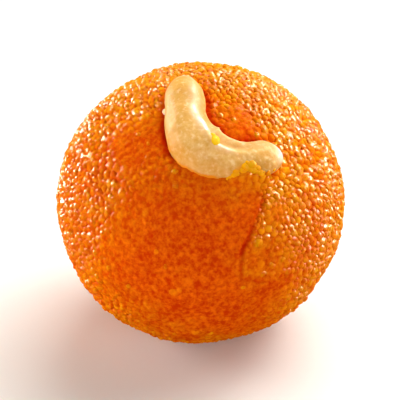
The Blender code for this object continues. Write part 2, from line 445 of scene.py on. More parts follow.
smearing = {
    "place": (-2, 0),
    "widths": (40, 56),
    "strength": 1.06,
    "everywhere": 0.02,
    # its patches: wavelength, strength, seed
    "patchLayers": [(0.013, 0.5, 21), (0.005, 0.25, 22)],
    "patches": 0.24,
    "flankPatches": 0.30,  # share of the patches' strength that is left away from the front
    "relief": 0.26,  # share of the relief that shows through it
    "rightBank": 0.30,  # how much of it the crack's right bank lacks
    # smaller patches: azimuth, elevation, width, strength, and 1 where it ends at the crack
    "spots": [
        (27, 61, 13, 0.78, 0),
        (33, 22, 9, 0.62, 0),
        (-36, 50, 17, 0.78, 0),
        (20, 22, 14, 1.1, 1),
        (23, 7, 10, 0.80, 0),
    ],
}

# pearls settle against their neighbours: the room they want, in mean distances, and how fast they move
settling = {"neighbours": 8, "room": 1.06, "push": 0.38}


def spreadSites(count, sizes, random, rounds, fixed=np.empty((0, 3))):
    # random places that push each other away until each has room for its size; the fixed ones come first
    sites = unitRows(random.normal(size=(count, 3)))
    sites[: len(fixed)] = fixed
    pitch = sqrt(4 * pi / count * 2 / sqrt(3))
    for _ in range(rounds):
        tree = KDTree(count)
        for index, site in enumerate(sites):
            tree.insert(site, index)
        tree.balance()
        found = [tree.find_n(site, settling["neighbours"] + 1)[1:] for site in sites]
        near = np.array([[neighbour[1] for neighbour in row] for row in found])
        apart = sites[:, None] - sites[near]
        gap = np.linalg.norm(apart, axis=2)
        wanted = settling["room"] * pitch * (sizes[:, None] + sizes[near]) / 2
        push = np.clip(wanted - gap, 0, None) * settling["push"]
        sites = unitRows(sites + (apart / np.maximum(gap, 1e-6)[..., None] * push[..., None]).sum(axis=1))
        sites[: len(fixed)] = fixed
    return sites


def cellsAround(sites):
    # neighbouring sites in threes, and for each site the threes and neighbours round it in order
    hull = bmesh.new()
    for site in sites:
        hull.verts.new(site)
    bmesh.ops.convex_hull(hull, input=hull.verts)
    bmesh.ops.recalc_face_normals(hull, faces=hull.faces)
    hull.verts.index_update()
    hull.faces.index_update()
    threes = np.array([[vertex.index for vertex in face.verts] for face in hull.faces])
    rounds = []
    for vertex in hull.verts:
        start = loop = vertex.link_loops[0]
        around = []
        while not around or loop != start:
            around.append((loop.face.index, loop.link_loop_prev.vert.index))
            loop = loop.link_loop_prev.link_loop_radial_next
        rounds.append(around)
    hull.free()
    return threes, rounds


def meetingPoints(sites, sizes, threes, rounds):
    # where three pearls meet, and where two do: nearer to the smaller pearls
    pull = sizes[threes] ** -pearls["cornerPull"]
    corners = unitRows((sites[threes] * pull[..., None]).sum(axis=1) / pull.sum(axis=1, keepdims=True))
    pairs = {}
    for index, around in enumerate(rounds):
        for _, other in around:
            pairs.setdefault((min(index, other), max(index, other)), len(pairs))
    ends = np.array(list(pairs))
    share = (sizes[ends[:, 0]] / sizes[ends].sum(axis=1))[:, None]
    meets = unitRows(sites[ends[:, 0]] * (1 - share) + sites[ends[:, 1]] * share)
    return corners, meets, pairs, ends


def cellFaces(rounds, pairs, cornerCount):
    # each cell is a ring of boundary points, a ring of shoulders inside it, and a crown in the middle
    boundaryCount = cornerCount + len(pairs)
    owners, edges, faces = [], [], []
    for index, around in enumerate(rounds):
        ring = []
        for corner, other in around:
            ring += [corner, cornerCount + pairs[(min(index, other), max(index, other))]]
        first = boundaryCount + len(owners)
        crown = -1 - index
        for k in range(len(ring)):
            following = (k + 1) % len(ring)
            faces.append((ring[k], ring[following], first + following, first + k))
            faces.append((first + k, first + following, crown))
        owners += [index] * len(ring)
        edges += ring
    # crowns come after all the shoulders
    crownStart = boundaryCount + len(owners)
    faces = [tuple(crownStart - 1 - point if point < 0 else point for point in face) for face in faces]
    return np.array(owners), np.array(edges), faces


def buildPearlSkin():
    random = np.random.default_rng(pearls["seed"])
    count = pearls["count"]
    sizes = np.clip(random.normal(1, pearls["sizeSpread"], count), *pearls["sizeLimits"])
    banks = crackPairs(random)
    sizes[: len(banks)] = pearls["bankSize"]
    sites = spreadSites(count, sizes, random, pearls["rounds"], banks)
    threes, rounds = cellsAround(sites)
    corners, meets, pairs, ends = meetingPoints(sites, sizes, threes, rounds)
    owners, edges, faces = cellFaces(rounds, pairs, len(corners))
    boundary = np.concatenate([corners, meets])

    # each pearl's crown, its lean, and how deep its crevices go
    limit = pearls["crownLimit"]
    crownHeight = np.clip(random.normal(0, pearls["crownSpread"], count), -limit, limit) - pearls["crownSunk"]
    lean = random.normal(0, pearls["tilt"], (count, 3))
    pitDepth = pearls["pit"] * random.uniform(*pearls["pitRange"], len(corners))
    meetDepth = pearls["crevice"] * random.uniform(*pearls["creviceRange"], len(meets))
    bridged, bridgedDepth = pearls["bridged"]
    meetDepth[random.random(len(meets)) < bridged] *= bridgedDepth
    depth = np.concatenate([pitDepth, meetDepth])

    # a shoulder is rounder than the cell that it fills
    offset = boundary[edges] - sites[owners]
    reach = np.linalg.norm(offset, axis=1)
    meanReach = (np.bincount(owners, reach) / np.bincount(owners))[owners]
    rounded = reach + (np.minimum(meanReach, reach) - reach) * pearls["roundness"]
    offset = offset / reach[:, None] * (rounded * pearls["shoulder"])[:, None]
    directions = np.concatenate([boundary, unitRows(sites[owners] + offset), sites])

    smear = smearShare(directions)
    relief = reliefShare(directions) * (1 - (1 - smearing["relief"]) * smear)
    leaning = (offset * lean[owners]).sum(axis=1) * ball["radius"]
    shoulderDrop = depth[edges] * pearls["shoulderDrop"] - crownHeight[owners] - leaning
    drop = np.concatenate([depth, shoulderDrop, -crownHeight])
    points = directions * (massRadius(directions) - drop * relief)[:, None] + ballCentre
    points[:, 2] = np.maximum(points[:, 2], 0)
    piece = pieceFrom("pearlSkin", points, faces)
    sharpenCrevices(piece.data, len(boundary), smear)

    def overPearls(values):
        # one value for each pearl, averaged where pearls meet
        meeting = [values[threes].mean(axis=1), values[ends].mean(axis=1)]
        return np.concatenate([*meeting, values[owners], values])

    middle, spread = pearls["tone"]
    tone = overPearls(random.normal(0, 1, count)) * spread + middle
    wet = overPearls(syrupOn(sites, random))
    # painted shade in the crevices: darkest where they are deepest, fainter on the shoulders, less under
    # paste
    dark = depth / pearls["pit"]
    shoulderDark = dark[edges] * pearls["shoulderDark"]
    hollow = np.concatenate([np.clip(dark, 0, pearls["darkest"]), shoulderDark, np.zeros(count)])
    hollow = hollow * (1 - pearls["pasteHides"] * smear)
    giveValues(piece, tone=tone, hollow=hollow, smear=smear, wet=wet)
    giveValues(piece, shade=shadeShare(directions), pale=paleShare(directions))
    return piece


def sharpenCrevices(mesh, boundaryCount, smear):
    # pearls meet in a sharp fold, except where paste has filled it
    ends = np.empty(len(mesh.edges) * 2, np.int32)
    mesh.edges.foreach_get("vertices", ends)
    ends = ends.reshape(-1, 2)
    sharp = (ends < boundaryCount).all(axis=1) & (smear[ends].mean(axis=1) < pearls["sharpBelow"])
    mesh.attributes.new("sharp_edge", "BOOLEAN", "EDGE").data.foreach_set("value", sharp)


def syrupOn(sites, random):
    # syrup stands on some pearls and has dried on others
    strength, length = pearls["wetPatches"]
    wets = random.normal(0, pearls["wetSpread"], len(sites))
    wets = wets + strength * waveNoise(sites * ball["radius"], length, seed=24)
    return np.clip(pearls["wet"] + lessSpots(wets, sites, pearls["drySpots"]), 0, 1)


def paleShare(directions):
    # painted light: paler towards the crown and the right
    crownFrom = pearls["crownFrom"]
    crown = pearls["paleCrown"] * smoothStep((directions[:, 2] - crownFrom) / crownFrom)
    bank = bell(crackDistance(directions), pearls["bankWidth"]) * rightOfCrack(directions)
    pale = crown + pearls["paleRight"] * directions[:, 0] + pearls["paleBank"] * bank
    # painted shade beside the cashew and in its crook, with other darker or paler spots
    pale = lessSpots(pale, directions, pearls["deepSpots"])
    edge, share, outer = cashewEdge(directions)
    lipPale, lipWidth = mass["lipPale"]
    return pale + lipPale * lipShare(share, outer) * bell(edge, lipWidth)


def smearShare(directions):
    # where rolling has spread the paste over the pearls: most of all down the front
    across, up = smearing["widths"]
    azimuth, elevation = smearing["place"]
    away = degreesFrom(directions, azimuth, elevation)
    rise = np.degrees(np.arcsin(np.clip(directions[:, 2], -1, 1))) - elevation
    sideways = np.sqrt(np.clip(away**2 - rise**2, 0, None))
    front = np.exp(-((sideways / across) ** 2) - (rise / up) ** 2)
    right = rightOfCrack(directions)
    front = front * (1 - smearing["rightBank"] * right)
    for azimuth, elevation, width, strength, endsAtCrack in smearing["spots"]:
        spot = strength * spotAt(directions, azimuth, elevation, width)
        front = np.maximum(front, spot * (1 - endsAtCrack * right))
    patches = layeredNoise(directions * ball["radius"], smearing["patchLayers"])
    patches = patches * (smearing["flankPatches"] + (1 - smearing["flankPatches"]) * np.clip(front, 0, 1))
    return smoothStep(smearing["strength"] * front + smearing["patches"] * patches + smearing["everywhere"])


def pieceFrom(name, points, faces):
    mesh = bpy.data.meshes.new(name)
    mesh.from_pydata(np.asarray(points).tolist(), [], faces)
    mesh.update()
    mesh.shade_smooth()
    piece = bpy.data.objects.new(name, mesh)
    scene.collection.objects.link(piece)
    return piece


def giveValues(piece, **values):
    # one number for each point, which the materials read by name
    for name, numbers in values.items():
        layer = piece.data.attributes.new(name, "FLOAT", "POINT")
        layer.data.foreach_set("value", np.asarray(numbers, np.float32))


loosePearls = {
    "count": 560,
    "seed": 8,
    "lumpSeed": 31,
    "rounds": 3,
    "radii": (0.00050, 0.00082),
    "proud": (0.00003, 0.00016),
    "squash": (0.72, 1.0),
    "lumps": 0.09,
    "wet": (0.1, 0.9),
    "clearOfCashew": 0.0014,
    "clearOfCrack": 0.0009,
    "lowest": 0.0022,
    "pasteThins": 0.95,  # share of them that full paste hides
    "pasteSinks": 0.8,  # and how much less proud it leaves the rest
}

# the balls that loose pearls and grains are made from: each takes its lumps from its own part of the noise
lumping = {
    "subdivisions": 3,
    "stretch": (0.8, 1.2),
    "shift": 9,
    "wavelength": 2.2,
    "waves": 10,
    "firstKind": 400,
    "kinds": 40,
    "clearOfFloor": 0.00005,
}


def roundPearl(subdivisions):
    shape = bmesh.new()
    bmesh.ops.create_icosphere(shape, subdivisions=subdivisions, radius=1)
    shape.verts.index_update()
    points = np.array([vertex.co[:] for vertex in shape.verts])
    faces = np.array([[vertex.index for vertex in face.verts] for face in shape.faces])
    shape.free()
    return points, faces


def scatterPearls(name, centres, radii, squashes, settings):
    # one joined mesh of uneven balls, each flattened along its own way out of the ladoo
    random = np.random.default_rng(settings["lumpSeed"])
    unitPoints, unitFaces = roundPearl(lumping["subdivisions"])
    shift = lumping["shift"]
    allPoints, allFaces = [], []
    for index, (centre, radius, squash) in enumerate(zip(centres, radii, squashes)):
        places = unitPoints * random.uniform(*lumping["stretch"]) + random.uniform(-shift, shift, 3)
        kind = lumping["firstKind"] + index % lumping["kinds"]
        lump = waveNoise(places, lumping["wavelength"], kind, lumping["waves"])
        shape = unitPoints * (1 + settings["lumps"] * lump)[:, None] * radius
        outward = unitRows(centre)
        shape = shape - (shape @ outward)[:, None] * outward * (1 - squash)
        allPoints.append(shape + centre)
        allFaces.append(unitFaces + index * len(unitPoints))
    points = np.concatenate(allPoints) + ballCentre
    points[:, 2] = np.maximum(points[:, 2], lumping["clearOfFloor"])
    return pieceFrom(name, points, np.concatenate(allFaces).tolist())


def buildLoosePearls():
    random = np.random.default_rng(loosePearls["seed"])
    count = loosePearls["count"]
    sites = spreadSites(count * 2, np.ones(count * 2), random, loosePearls["rounds"])
    edge, _, _ = cashewEdge(sites)
    height = ballCentreZ + ball["radius"] * sites[:, 2]
    keep = (edge > loosePearls["clearOfCashew"]) & (height > loosePearls["lowest"])
    keep &= random.random(len(sites)) > loosePearls["pasteThins"] * smearShare(sites)
    keep &= crackDistance(sites) > loosePearls["clearOfCrack"]
    sites = sites[keep][:count]
    radii = random.uniform(*loosePearls["radii"], len(sites))
    squashes = random.uniform(*loosePearls["squash"], len(sites))
    proud = random.uniform(*loosePearls["proud"], len(sites))
    proud = proud * (1 - loosePearls["pasteSinks"] * smearShare(sites))
    centres = sites * (massRadius(sites) + proud - radii * squashes)[:, None]
    piece = scatterPearls("loosePearls", centres, radii, squashes, loosePearls)
    each = len(piece.data.vertices) // len(sites)
    points = np.array([vertex.co[:] for vertex in piece.data.vertices]) - ballCentre
    giveValues(
        piece,
        tone=np.repeat(random.normal(*pearls["tone"], len(sites)), each),
        # painted shade where the pearl sinks into the skin
        hollow=np.clip(-aboveBall(points) / pearls["pit"], 0, 1),
        smear=np.zeros(len(points)),
        shade=np.zeros(len(points)),
        wet=np.repeat(random.uniform(*loosePearls["wet"], len(sites)), each),
        pale=np.repeat(paleShare(sites), each),
    )
    return piece


def seamSection(shares, angles):
    # how the section swells and sinks round the kernel: a furrow along the seam, with a ridge on each side
    away = (angles[None] - valueAt(shares, cashew["seamAngles"])[:, None]) / cashew["seamHalfAngle"]
    folds = [*cashew["ridges"], cashew["furrow"]]
    relief = sum(height * bell(away - place, width) for place, width, height in folds)
    return 1 + valueAt(shares, cashew["seamStrength"])[:, None] * relief


def kernelFaces(rings, sides):
    # bands between the rings, then a fan at each tip; the two tips are the last points
    faces = []
    for ring in range(rings - 1):
        for k in range(sides):
            here, following = ring * sides + k, ring * sides + (k + 1) % sides
            faces.append((here, following, following + sides, here + sides))
    firstTip, lastTip = rings * sides, rings * sides + 1
    lastRing = (rings - 1) * sides
    for k in range(sides):
        following = (k + 1) % sides
        faces.append((firstTip, following, k))
        faces.append((lastTip, lastRing + k, lastRing + following))
    return faces


def buildCashew():
    rings, sides = cashew["rings"], cashew["sides"]
    shares = (1 - np.cos(np.linspace(0, pi, rings))) / 2
    centres = pointsAlong(shares, np.linspace(0, 1, len(cashewRoute)), cashewRoute)
    outward, inner = acrossLine(centres, unitRows(np.gradient(centres, axis=0)))
    widths = valueAt(shares, cashew["halfWidths"]) * tipRounding(shares)
    angles = np.linspace(-180, 180, sides, endpoint=False)
    section = widths[:, None] * seamSection(shares, angles)
    side = section * np.sin(np.radians(angles))
    rise = section * np.cos(np.radians(angles)) * cashew["thickness"]
    grid = centres[:, None] + side[..., None] * inner[:, None] + rise[..., None] * outward[:, None]
    points = grid[1:-1].reshape(-1, 3)
    towards = points - np.repeat(centres[1:-1], sides, axis=0)
    length = np.linalg.norm(towards, axis=1)
    lumps = layeredNoise(points, cashew["lumps"]) * np.clip(length / cashew["lumpFade"], 0, 1)
    points = points + towards / length[:, None] * lumps[:, None]
    points = np.concatenate([points, centres[:1], centres[-1:]])
    piece = pieceFrom("cashewKernel", points + ballCentre, kernelFaces(rings - 2, sides))
    pointShares = np.concatenate([np.repeat(shares[1:-1], sides), [0, 1]])
    pointAngles = np.concatenate([np.tile(angles, rings - 2), [0, 0]])
    markCashew(piece, points, pointShares, pointAngles)
    return piece


# what marks the kernel's skin, by shares of its length and angles round it
marks = {
    "seamWidth": 0.7,  # of the seam's half angle
    # paste smeared up the outer side of the arm: share, width, first angle, degrees until it is full
    "armSmear": (0.775, 0.068, 8, 40),
    # and under the bend, up to this height above the ball
    "underSmear": (0.58, 0.10, 20, 30),
    "underHeight": 0.0014,
    "footHeight": 0.0009,  # the foot of the kernel is stained all round, up to this height
    "pasteShares": (1.5, 0.5, 0.75),  # how much the arm, the foot and the underside count
    "pasteFrom": 0.40,  # paste shows from this much of it on
    "pasteOver": 0.6,  # and is full after this much more
    # its ragged edge: wavelength, strength, seed
    "ragged": [(0.0028, 0.35, 73), (0.0012, 0.2, 74)],
    "raggedness": 0.5,
    # the outer side is tinted and given painted shade: share, strength; and first angle, degrees until it is
    # full
    "outerStain": [(0.0, 0.40), (0.12, 0.55), (0.35, 0.70), (0.48, 0.6), (0.62, 0.2), (1.0, 0.0)],
    "outerAngles": (16, 48),
    "tipBlush": (0, 0.10, -20, 60),  # and the crown tip, given like the paste
    "tipBlushStrength": 0.55,
    # painted sheen on the inner side: share, strength
    "polishStrength": [
        (0.0, 0.3), (0.1, 0.7), (0.3, 1.0), (0.48, 1.0), (0.56, 0.5), (0.7, 0.2), (0.9, 0.3), (1.0, 0.8),
    ],
    "polishAngle": 40,
    "polishWidth": 24,
    # a painted highlight in a narrow streak beside the bend, where the coat is stronger too: share, angle;
    # share, strength
    "streakAngles": [(0.0, 30), (0.3, 32), (0.4, 36), (0.47, 33), (0.53, 27)],
    "streakHalfAngle": 11,
    "streakStrength": [
        (0.10, 0), (0.16, 0.25), (0.25, 0.12), (0.33, 0.8), (0.42, 1.3), (0.48, 1.1), (0.51, 0.7), (0.54, 0),
    ],
    # and on the lower ridge past it: share, strength
    "ridgeStrength": [(0.57, 0.0), (0.60, 0.5), (0.66, 0.45), (0.72, 0.0)],
    "ridgeWidth": 0.30,
    "tipStreak": (0.985, 0.03, -75, 60),  # and the side tip, given like the paste, but on the inner side
    "tipStreakStrength": 0.8,
    # what breaks the streaks up: wavelength, seed, middle, spread, least, most
    "broken": (0.0016, 75, 0.85, 0.4, 0.2, 1.1),
    # painted light and shade along it: the arm at the crown is darker than the bend
    "paleness": [(0.0, -0.45), (0.3, -0.38), (0.45, -0.08), (0.6, 0.22), (0.78, -0.08), (1.0, -0.15)],
}


def outerFrom(angles, first, degrees):
    # 0 up to this angle on the outer side, then rising to 1
    return smoothStep((-angles - first) / degrees)


def patchOn(shares, angles, share, width, first, degrees):
    return bell(shares - share, width) * outerFrom(angles, first, degrees)


def lowDown(height, top):
    return smoothStep((top - height) / top)


def markCashew(piece, points, shares, angles):
    height = aboveBall(points)
    fromSeam = angles - valueAt(shares, cashew["seamAngles"])
    seam = bell(fromSeam, cashew["seamHalfAngle"] * marks["seamWidth"])
    seam = seam * valueAt(shares, cashew["seamStrength"])
    # paste, in uneven tongues
    arm = patchOn(shares, angles, *marks["armSmear"])
    foot = lowDown(height, marks["footHeight"])
    under = lowDown(height, marks["underHeight"]) * patchOn(shares, angles, *marks["underSmear"])
    armShare, footShare, underShare = marks["pasteShares"]
    ragged = marks["raggedness"] * layeredNoise(points, marks["ragged"]) * (arm + foot + under)
    paste = arm * armShare + footShare * foot + underShare * under + ragged
    paste = smoothStep((paste - marks["pasteFrom"]) / marks["pasteOver"])
    # stains, and painted shade on the outer side
    outerSide = outerFrom(angles, *marks["outerAngles"]) * valueAt(shares, marks["outerStain"])
    blush = marks["tipBlushStrength"] * patchOn(shares, angles, *marks["tipBlush"])
    # painted highlights: a sheen on the inner side, and brighter streaks that also take more coat
    blush = np.maximum(blush, outerSide)
    # rubbed and bare places
    polish = bell(angles - marks["polishAngle"], marks["polishWidth"])
    polish = polish * valueAt(shares, marks["polishStrength"])
    # painted highlights in streaks beside the bend, on the lower ridge and at the side tip
    fromStreak = angles - valueAt(shares, marks["streakAngles"])
    streak = bell(fromStreak, marks["streakHalfAngle"]) * valueAt(shares, marks["streakStrength"])
    fromRidge = fromSeam / cashew["seamHalfAngle"] - cashew["ridges"][0][0]
    streak = streak + bell(fromRidge, marks["ridgeWidth"]) * valueAt(shares, marks["ridgeStrength"])
    streak = np.clip(streak * limitedNoise(points, *marks["broken"]), 0, 1)
    tipStreak = marks["tipStreakStrength"] * patchOn(shares, -angles, *marks["tipStreak"])
    streak = np.maximum(streak, tipStreak)
    giveValues(piece, paste=paste, seam=seam, blush=blush, foot=foot)
    giveValues(piece, polish=polish, streak=streak, pale=valueAt(shares, marks["paleness"]))


grains = {
    # share along the cashew, angle round it, radius, how far out, yellowness
    "stuck": [
        (0.568, 15, 0.00100, -0.00024, 1.0),
        (0.550, 25, 0.00060, -0.00010, 0.9),
        (0.24, -84, 0.00068, -0.00020, -1.0),
        (0.92, -62, 0.00040, -0.00022, 0.4),
    ],
    "squash": 0.7,
    "lumps": 0.12,
    "lumpSeed": 37,
    # pearls pressed up over the lower arm
    "pressed": 46,
    "pressedSeed": 12,
    "pressedShare": (0.775, 0.042),  # middle and spread along the cashew
    "pressedEnds": (1.9, 2.3),  # in spreads: the furthest pearl, and where their heap would end
    "pressedAngles": (-88, -18),
    "pressedRadii": (0.00042, 0.00072),
    "pressedRise": (-0.5, -0.1),  # how far out, of the radius
    "pressedYellow": (0, 0.2),
}


def overCashew(share, angle, rise):
    # a point on the kernel at this share of its length and this angle round it
    index = int(share * (len(cashewRoute) - 1))
    before, centre, after = cashewRoute[index - 1 : index + 2]
    outward, inner = acrossLine(centre, unitRows(after - before))
    width = valueAt(share, cashew["halfWidths"]) * float(tipRounding(np.array(share)))
    turn = radians(angle)
    return centre + (width + rise) * (inner * sin(turn) + outward * cos(turn) * cashew["thickness"])


def buildGrains():
    random = np.random.default_rng(grains["pressedSeed"])
    rows = list(grains["stuck"])
    middle, spread = grains["pressedShare"]
    furthest, heapEnd = grains["pressedEnds"]
    lowest, highest = grains["pressedAngles"]
    for _ in range(grains["pressed"]):
        off = float(np.clip(random.normal(), -furthest, furthest))
        reach = (highest - lowest) * (1 - (off / heapEnd) ** 2)
        angle = lowest + reach * random.uniform(0, 1)
        radius = random.uniform(*grains["pressedRadii"])
        rise = random.uniform(*grains["pressedRise"]) * radius
        rows.append((middle + spread * off, angle, radius, rise, random.uniform(*grains["pressedYellow"])))
    centres = np.array([overCashew(share, angle, rise) for share, angle, _, rise, _ in rows])
    radii = [row[2] for row in rows]
    piece = scatterPearls("stuckGrains", centres, radii, [grains["squash"]] * len(radii), grains)
    each = len(piece.data.vertices) // len(radii)
    giveValues(piece, yellow=np.repeat([row[4] for row in rows], each))
    return piece


def fillIn(tree, node, **inputs):
    # sets or links inputs: each by its name, with _ for a space, or by its place as _0, _1 and so on
    for name, value in inputs.items():
        socket = node.inputs[int(name[1:]) if name[0] == "_" else name.replace("_", " ")]
        if isinstance(value, bpy.types.NodeSocket):
            tree.links.new(value, socket)
        else:
            socket.default_value = value


def addNode(tree, kind, settings=None, **inputs):
    node = tree.nodes.new(kind)
    for name, value in (settings or {}).items():
        setattr(node, name, value)
    fillIn(tree, node, **inputs)
    return node


def addMath(tree, operation, *values, clamp=False):
    node = addNode(tree, "ShaderNodeMath", {"operation": operation, "use_clamp": clamp})
    fillIn(tree, node, **{f"_{place}": value for place, value in enumerate(values)})
    return node.outputs[0]


def mixColours(tree, share, first, second):
    first, second = ((*colour, 1) if isinstance(colour, tuple) else colour for colour in (first, second))
    settings = {"data_type": "RGBA", "clamp_factor": True}
    return addNode(tree, "ShaderNodeMix", settings, _0=share, _6=first, _7=second).outputs[2]


def layOver(tree, skin, mask, strength, colour):
    # the colour covers the skin by this much where the mask is 1
    return mixColours(tree, addMath(tree, "MULTIPLY", mask, strength), skin, colour)


def centred(tree, value, strength):
    # turns 0 to 1 into a change about 0
    return addMath(tree, "MULTIPLY_ADD", value, strength, -strength / 2)


def readValue(tree, name):
    return addNode(tree, "ShaderNodeAttribute", {"attribute_name": name}).outputs["Fac"]


def newMaterial(name):
    material = bpy.data.materials.new(name)
    material.use_nodes = True
    tree = material.node_tree
    return material, tree, tree.nodes["Principled BSDF"]


def addBump(tree, strength, distance, height):
    bump = addNode(tree, "ShaderNodeBump", Strength=strength, Distance=distance, Height=height)
    return bump.outputs["Normal"]


def makeGrainGroup():
    # uneven tone in three sizes, and the height of a fine rough skin; sizes are in millimetres
    group = bpy.data.node_groups.new("syrupGrain", "ShaderNodeTree")
    for label, size in (("Patch Size", 6.0), ("Speck Size", 0.9), ("Skin Size", 0.28)):
        socket = group.interface.new_socket(label, in_out="INPUT", socket_type="NodeSocketFloat")
        socket.default_value = size
    for label in ("Patches", "Specks", "Skin"):
        group.interface.new_socket(label, in_out="OUTPUT", socket_type="NodeSocketFloat")
    inlet = group.nodes.new("NodeGroupInput")
    outlet = group.nodes.new("NodeGroupOutput")
    place = addNode(group, "ShaderNodeTexCoord").outputs["Object"]
    for label, source, detail, rough in (
        ("Patches", "Patch Size", 3.0, 0.55),
        ("Specks", "Speck Size", 2.0, 0.6),
        ("Skin", "Skin Size", 4.0, 0.6),
    ):
        scale = addMath(group, "DIVIDE", 1000.0, inlet.outputs[source])
        settings = {"Vector": place, "Scale": scale, "Detail": detail, "Roughness": rough}
        cloud = addNode(group, "ShaderNodeTexNoise", **settings)
        group.links.new(cloud.outputs["Fac"], outlet.inputs[label])
    return group


def placeGroup(tree, group, **inputs):
    return addNode(tree, "ShaderNodeGroup", {"node_tree": group}, **inputs).outputs


boondi = {
    # the first colour is painted shade for the crevices, and where loose pearls sink in
    "deep": (0.62, 0.034, 0.0006),
    "body": (0.73, 0.128, 0.0010),
    "crown": (0.85, 0.354, 0.0040),
    "pasteDark": (0.59, 0.044, 0.0012),
    "pasteLight": (0.85, 0.176, 0.0035),
    "yellow": (0.94, 0.36, 0.004),
    # painted shade for the crack and beside the cashew
    "crackColour": (0.56, 0.014, 0.0006),
    # what makes the tone: slow patches, fine specks and the pearl's own tone
    "patchTone": 1.0,
    "speckTone": 2.6,
    "pearlTone": (0.22, 0.34),  # strength, base
    # a few pearls are golden: from which tone, how fast, and how much of it paste hides
    "golden": (1.45, 1.2, 0.3),
    "hollowReach": (0.95, 1.4),  # how the painted shade in the crevices deepens: share and power
    "hollowStrength": 0.74,
    # how strongly the painted shade of the crack and beside the cashew covers the skin
    "crackStrength": 0.88,
    "roughness": (0.40, 0.60),  # of the crowns, and of paste and crevices
    "speckRoughness": 0.05,
    "coat": 0.80,
    "coatEdge": 2.6,  # the higher, the less paste it takes to hide the syrup's shine
    "bump": (0.55, 0.00008),  # strength, height
    "finish": {
        "Specular IOR Level": 0.0,
        "Coat Roughness": 0.12,
        "Subsurface Weight": 0.43,
        "Subsurface Radius": (1.0, 0.30, 0.06),
        "Subsurface Scale": 0.0011,
    },
}


def makeBoondi(grainGroup):
    material, tree, surface = newMaterial("syrupBoondi")
    grain = placeGroup(tree, grainGroup, Patch_Size=6.5, Speck_Size=0.8, Skin_Size=0.26)
    tone, hollow, smear, shade, syrup, pale = (
        readValue(tree, name) for name in ("tone", "hollow", "smear", "shade", "wet", "pale")
    )
    # light or dark: the pearl's own tone, slow patches and fine specks, with the painted light and shade that
    # pale carries
    patches = centred(tree, grain["Patches"], boondi["patchTone"])
    specks = centred(tree, grain["Specks"], boondi["speckTone"])
    own = addMath(tree, "ADD", addMath(tree, "MULTIPLY_ADD", tone, *boondi["pearlTone"]), pale)
    light = addMath(tree, "ADD", addMath(tree, "ADD", patches, specks), own, clamp=True)
    skin = mixColours(tree, light, boondi["body"], boondi["crown"])
    paste = mixColours(tree, light, boondi["pasteDark"], boondi["pasteLight"])
    skin = mixColours(tree, smear, skin, paste)
    # golden pearls show through the paste too
    goldFrom, goldSlope, hidden = boondi["golden"]
    gold = addMath(tree, "SUBTRACT", tone, goldFrom, clamp=True)
    gold = addMath(tree, "MULTIPLY", gold, goldSlope, clamp=True)
    gold = addMath(tree, "MULTIPLY", gold, addMath(tree, "MULTIPLY_ADD", smear, -hidden, 1.0))
    skin = mixColours(tree, gold, skin, boondi["yellow"])
    # painted shade in the crevices
    reach, power = boondi["hollowReach"]
    depth = addMath(tree, "POWER", addMath(tree, "MULTIPLY", hollow, reach, clamp=True), power)
    skin = layOver(tree, skin, depth, boondi["hollowStrength"], boondi["deep"])
    # painted shade in the crack and beside the cashew
    skin = layOver(tree, skin, shade, boondi["crackStrength"], boondi["crackColour"])
    smooth, rough = boondi["roughness"]
    roughness = addMath(tree, "MULTIPLY_ADD", addMath(tree, "MAXIMUM", hollow, smear), rough - smooth, smooth)
    roughness = addMath(tree, "MULTIPLY_ADD", specks, boondi["speckRoughness"], roughness)
    # syrup shines on the crowns, and neither in the crevices nor where paste covers them
    bare = addMath(tree, "SUBTRACT", 1.0, addMath(tree, "MAXIMUM", smear, shade), clamp=True)
    wet = addMath(tree, "POWER", bare, boondi["coatEdge"])
    wet = addMath(tree, "MULTIPLY", wet, addMath(tree, "SUBTRACT", 1.0, hollow, clamp=True))
    wet = addMath(tree, "MULTIPLY", wet, syrup)
    coat = addMath(tree, "MULTIPLY", wet, boondi["coat"])
    normal = addBump(tree, *boondi["bump"], addMath(tree, "ADD", grain["Skin"], grain["Specks"]))
    fillIn(tree, surface, **boondi["finish"])
    fillIn(tree, surface, Base_Color=skin, Roughness=roughness, Coat_Weight=coat, Normal=normal)
    return material


kernel = {
    "cream": (0.71, 0.375, 0.078),
    "pale": (0.86, 0.575, 0.225),
    "tone": (1.8, -1.38),  # how strongly patches and specks change it, and an offset
    # the flecks' colour, also used for the painted sheen
    "fleck": (0.95, 0.82, 0.56),
    "fleckEdge": (7.0, -3.9),  # which specks are flecks
    "seamColour": (0.60, 0.26, 0.04),
    # colour of the painted highlight
    "streak": (0.99, 0.95, 0.86),
    # stain colour, also laid as painted shade on the outer side
    "stain": (0.69, 0.31, 0.044),
    "paste": (0.97, 0.35, 0.008),
    "fleckStrength": 0.28,
    # what lies over the skin, in order: mark, strength, colour
    "layers": [
        # painted sheen on the inner side
        ("polish", 0.36, "fleck"),
        ("seam", 0.60, "seamColour"),
        # painted highlight
        ("streak", 0.85, "streak"),
        # a tint with painted shade on the outer side, and the crown tip's tint
        ("blush", 0.78, "stain"),
        ("foot", 0.55, "stain"),
        ("paste", 0.92, "paste"),
    ],
    "pasteHeight": 1.5,
    "roughness": (0.25, 0.33),  # what the specks add, and the least
    "coat": (0.02, 0.75),  # plain, and where the highlight is painted
    "bump": (0.7, 0.00008),  # strength, height
    "finish": {
        "Specular IOR Level": 0.03,
        "Coat Roughness": 0.26,
        "Subsurface Weight": 0.45,
        "Subsurface Radius": (1.0, 0.60, 0.30),
        "Subsurface Scale": 0.0018,
    },
}


